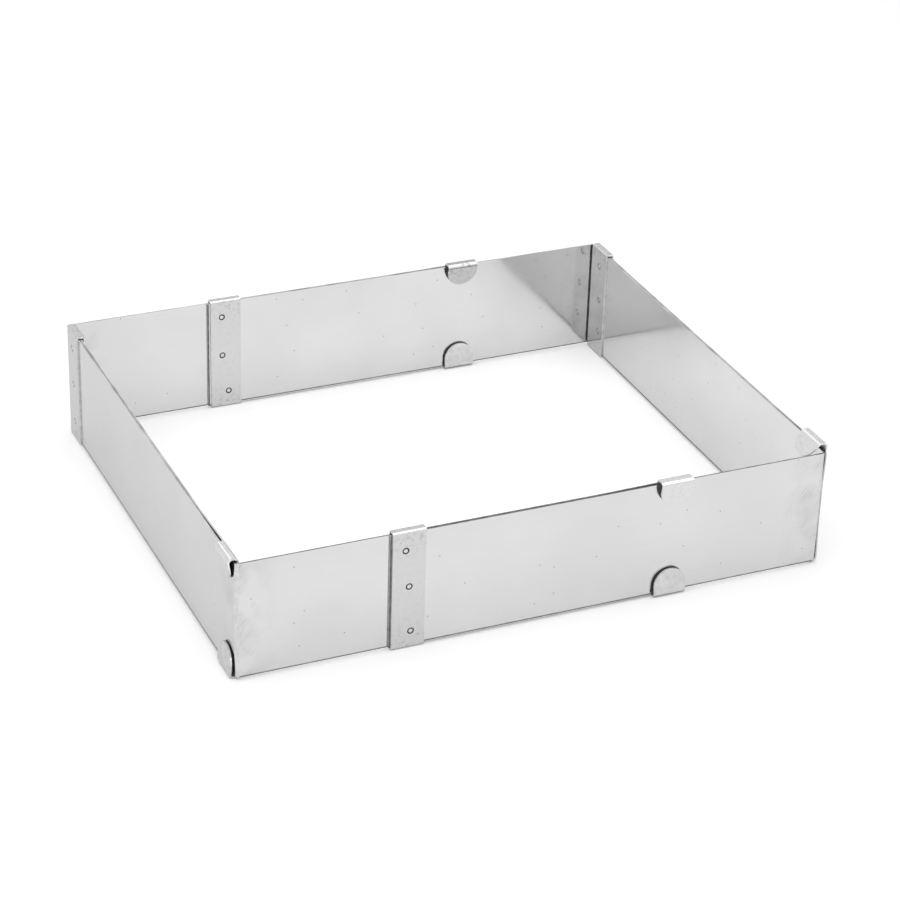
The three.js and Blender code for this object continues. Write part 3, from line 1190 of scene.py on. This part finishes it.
@dataclass(frozen=True)
class Studio:
    """A white paper floor under soft light from above and from the front, with a small lamp behind."""

    paper: str = "#fafafa"
    lift: float = 0.155  # how much whiter the paper looks than the lamps make it
    floor: float = 8.0
    fibre_scale: float = 900.0  # fibres to the metre
    fibre_depth: float = 0.02 * MM
    fill: float = 0.3  # how much of the room's white lights the frame
    lamps: tuple[Softbox, ...] = (
        Softbox("overhead_softbox", (-0.3, 0.0, 1.5), (-0.3, 0.0, 0.0), (3.2, 3.0), 34.5),
        Softbox("front_softbox", (-0.3, -2.4, 1.2), (0.0, 0.0, 0.1), (3.0, 1.5), 8.0),
        Softbox("back_softbox", (-0.45, 2.3, 1.7), (0.1, -0.1, 0.05), (0.5, 0.5), 0.6),
    )

    def build(self) -> None:
        """Lays the floor, hangs the lamps and lights the room."""
        bpy.ops.mesh.primitive_plane_add(size=self.floor)
        floor = bpy.context.object
        floor.name = "paper_floor"
        material, tree, place = new_material("white_paper")
        fibres = add_node(tree, "TexNoise", {"Vector": place, "Scale": self.fibre_scale})
        relief = add_node(tree, "Bump", {"Height": fibres, "Distance": self.fibre_depth})
        sheet = add_node(tree, "BsdfDiffuse", {"Color": linear(self.paper), "Normal": relief})
        seen = add_node(tree, "MapRange", {"Value": self.shown(tree), "To Min": 0.0, "To Max": self.lift})
        glow = add_node(tree, "Emission", {"Color": linear(self.paper), "Strength": seen})
        lit = add_node(tree, "AddShader", {0: sheet, 1: glow})
        add_node(tree, "OutputMaterial", {"Surface": lit})
        floor.data.materials.append(material)
        for lamp in self.lamps:
            lamp.build()
        self.light_room()

    def light_room(self) -> None:
        """Makes the room white where it is seen or mirrored, and a soft fill for the rest."""
        room = bpy.data.worlds.new("white_room")
        bpy.context.scene.world = room
        room.use_nodes = True
        tree = room.node_tree
        tree.nodes.clear()
        level = add_node(tree, "MapRange", {"Value": self.shown(tree), "To Min": self.fill, "To Max": 1.0})
        glow = add_node(tree, "Background", {"Color": (1.0, 1.0, 1.0, 1.0), "Strength": level})
        add_node(tree, "OutputWorld", {"Surface": glow})

    def shown(self, tree: NodeTree) -> Node:
        """Tells the rays that show the studio from those that only light it.

        Args:
            tree: The tree of the floor's or the room's look.

        Returns:
            The node that gives 1 where the studio is seen, mirrored or seen through something, else 0.
        """
        ray = add_node(tree, "LightPath", {})
        clear = ray.outputs["Is Camera Ray"]
        for kind in ("Is Glossy Ray", "Is Transmission Ray"):
            clear = add_node(tree, "Math", {0: clear, 1: ray.outputs[kind]}, operation="MAXIMUM")
        return clear


@dataclass(frozen=True)
class PhotoCamera:
    """The camera where the photograph was taken from."""

    place: tuple[float, float, float] = (-0.430191, -0.977549, 0.60249)
    target: tuple[float, float, float] = (0.004185, -0.008731, 0.025)
    roll: float = 1.84  # degrees
    lens: float = 115.7495
    sensor: float = 36.0
    clip: tuple[float, float] = (0.05, 50.0)  # the nearest and the farthest that it sees

    def build(self) -> None:
        """Sets the camera up and looks through it."""
        camera = bpy.data.cameras.new("photo_camera")
        camera.lens = self.lens
        camera.sensor_width = self.sensor
        camera.clip_start, camera.clip_end = self.clip
        obj = bpy.data.objects.new("photo_camera", camera)
        roll = Quaternion(UP, math.radians(self.roll))
        obj.location = self.place
        obj.rotation_euler = (aim(self.place, self.target) @ roll).to_euler()
        bpy.context.collection.objects.link(obj)
        bpy.context.scene.camera = obj


@dataclass(frozen=True)
class CakeFrame:
    """The whole frame: four angles, four straps and twelve spot welds."""

    gauge: Gauge
    layout: Layout
    upper_left: Bend = Bend(rise=1 * MM, standoff=2 * MM, lean=10.0)
    upper_front: Bend = Bend(rise=1 * MM, standoff=2.6 * MM, lean=11.0, roundness=0.3)
    upper_back: Bend = Bend(
        rise=1 * MM, standoff=3 * MM, lean=15.0, finish=Finish.DULL_TAB, roundness=0.5
    )
    lower: Bend = Bend(rise=0.15 * MM, standoff=1.3 * MM, lean=3.0, finish=Finish.CORNER, roundness=0.5)
    lower_left: Bend = Bend(
        rise=0.15 * MM, standoff=1.3 * MM, lean=4.0, finish=Finish.CORNER, roundness=0.5
    )
    opened: Bend = Bend(rise=3.2 * MM, standoff=1.3 * MM, lean=-38.0)
    # How far the welds of a strap are tilted, in degrees, from the top one down
    tilts: tuple[tuple[float, float], ...] = ((4.0, -3.0), (0.5, 1.0), (-1.0, 1.5))

    def angles(self) -> list[Angle]:
        """Lays out the four angles.

        Returns:
            The angles.
        """
        walls, gauge, layout = self.layout.walls, self.gauge, self.layout
        tabs = {
            Side.FRONT: {Edge.TOP: self.upper_front, Edge.BOTTOM: self.lower},
            Side.BACK: {Edge.TOP: self.upper_back, Edge.BOTTOM: self.lower},
            Side.LEFT: {Edge.TOP: self.upper_left, Edge.BOTTOM: self.lower_left},
            Side.RIGHT: {Edge.TOP: self.opened, Edge.BOTTOM: self.lower},
        }
        inside = {
            side: Leg(walls[side], gauge.inner_middle, layout.tab_end[side], tabs[side]) for side in Side
        }
        outside = {side: Leg(walls[side], gauge.outer_middle, layout.strap_end[side]) for side in Side}
        pairs = {
            "front_left": (inside[Side.FRONT], outside[Side.LEFT]),
            "front_right": (outside[Side.FRONT], outside[Side.RIGHT]),
            "back_right": (inside[Side.RIGHT], outside[Side.BACK]),
            "back_left": (inside[Side.LEFT], inside[Side.BACK]),
        }
        # Twice as deep as the inner sheet's middle, so it lies behind both sheets of the front wall
        torn_before = walls[Side.FRONT].level(2 * gauge.inner_middle)
        return [
            Angle(f"{body}_angle", body, legs, gauge, HookTab(gauge), torn_before)
            for body, legs in pairs.items()
        ]

    def straps(self) -> list[Strap]:
        """Lays out the four straps.

        Returns:
            The straps.
        """
        bodies = {
            Side.FRONT: "front_right",
            Side.BACK: "back_right",
            Side.LEFT: "front_left",
            Side.RIGHT: "front_right",
        }
        return [
            Strap(side, body, self.layout.walls[side], self.layout.strap_span[side], self.gauge)
            for side, body in bodies.items()
        ]

    def build(self) -> None:
        """Builds and dresses every piece, in the order in which the frame is made."""
        strip, punched_highlit = FOLDED_STRIP.material(), PUNCHED_EDGE_AND_HIGHLIGHT.material()
        finishes = {
            Finish.FACE: RolledSheet().material(),
            Finish.EDGE: BURNISHED_EDGE.material(),
            Finish.TAB: BENT_TAB_WITH_PAINTED_LIGHT.material(),
            Finish.TAB_EDGE: punched_highlit,
            Finish.DULL_TAB: DULLED_TAB.material(),
            Finish.DULL_TAB_EDGE: punched_highlit,
            Finish.TAB_INSIDE: RUBBED_INSIDE.material(),
            Finish.TORN_EDGE: TORN_EDGE.material(),
            Finish.CORNER: STRAINED_CORNER.material(),
        }
        for angle in self.angles():
            obj = angle.build()
            angle.dress(obj, finishes)
            self.hand_over(obj, angle.node, angle.body)
        strip_finishes = {
            StripFinish.FACE: strip,
            StripFinish.EDGE: punched_highlit,
            StripFinish.UNDERSIDE: finishes[Finish.TORN_EDGE],
        }
        weld = SpotWeld()
        end = WELD_END.material()
        scorched, tinted = (
            weld.build({WeldFinish.END: end, WeldFinish.RING: ring.material()})
            for ring in (WELD_RING, PALE_WELD_RING)
        )
        for strap in self.straps():
            obj = strap.build()
            nodes = [f"{strap.side.value}_weld_{spot}" for spot in ("upper", "middle", "lower")]
            strap.dress(obj, [node_middle(node) for node in nodes], strip_finishes)
            self.hand_over(obj, strap.node, strap.body)
            master = scorched if strap.side in (Side.FRONT, Side.BACK) else tinted
            for node, tilt in zip(nodes, self.tilts):
                self.hand_over(weld.set_in(master, node, strap.wall, tilt), node, strap.body)
        for master in (scorched, tinted):
            bpy.data.objects.remove(master)

    def hand_over(self, obj: Object, node: str, body: str) -> None:
        """Puts a finished piece in its node's place.

        Args:
            obj: The piece.
            node: The node that it stands for.
            body: The body that it moves with.
        """
        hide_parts(node)
        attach(obj, body)
        log.info("%s: %d faces, moves with %s", obj.name, len(obj.data.polygons), body)


def main() -> None:
    """Builds the frame, the studio and the camera."""
    logging.basicConfig(level=logging.INFO, format="%(message)s")
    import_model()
    bpy.context.scene.view_settings.view_transform = "Standard"
    CakeFrame(Gauge(), Layout.from_frame(strip=Strap.strip)).build()
    Studio().build()
    PhotoCamera().build()


if __name__ == "__main__":
    main()
